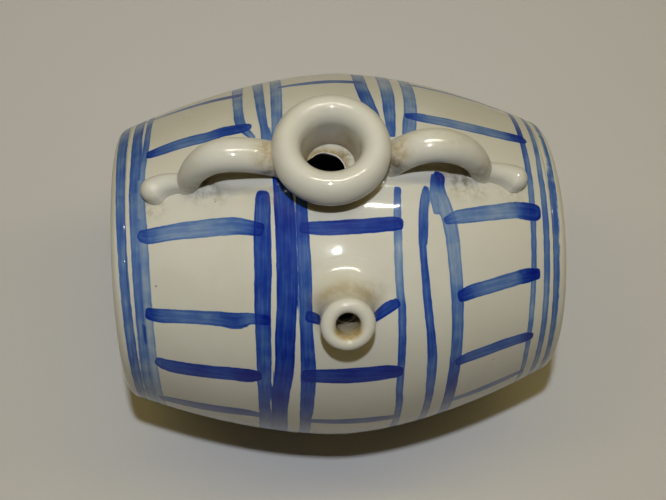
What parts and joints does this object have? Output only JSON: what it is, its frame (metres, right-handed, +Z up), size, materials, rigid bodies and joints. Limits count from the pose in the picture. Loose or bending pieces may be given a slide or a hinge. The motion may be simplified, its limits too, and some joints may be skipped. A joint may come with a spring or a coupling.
{
  "type": "ceramic keg",
  "caption": "Glazed ceramic keg lying on its belly: bulged barrel painted with hoops and staves, rolled mouth collar, loop handles and a short pouring spout.",
  "frame": {"origin": "in the flat that the belly rests on, under the middle of the barrel", "axes": "+X along the barrel, +Y to the back, away from the spout, +Z up through the mouth"},
  "size_m": [0.2, 0.174, 0.1924],
  "materials": {
    "barrel_glaze": "cream tin glaze with brushed cobalt hoops and staves, glossy",
    "head_glaze": "cream tin glaze with a brushed cobalt hoop, glossy",
    "collar_glaze": "cream tin glaze, glossy",
    "handle_glaze": "cream tin glaze, stained brown at the joints, glossy",
    "spout_glaze": "cream tin glaze, stained rust brown in the bore, glossy"
  },
  "bodies": {
    "root": {"barrel_wall": "barrel_glaze", "left_head": "head_glaze", "right_head": "head_glaze", "mouth_collar": "collar_glaze", "left_handle": "handle_glaze", "right_handle": "handle_glaze", "left_handle_curl": "handle_glaze", "right_handle_curl": "handle_glaze", "spout": "spout_glaze"}
  },
  "joints": []
}
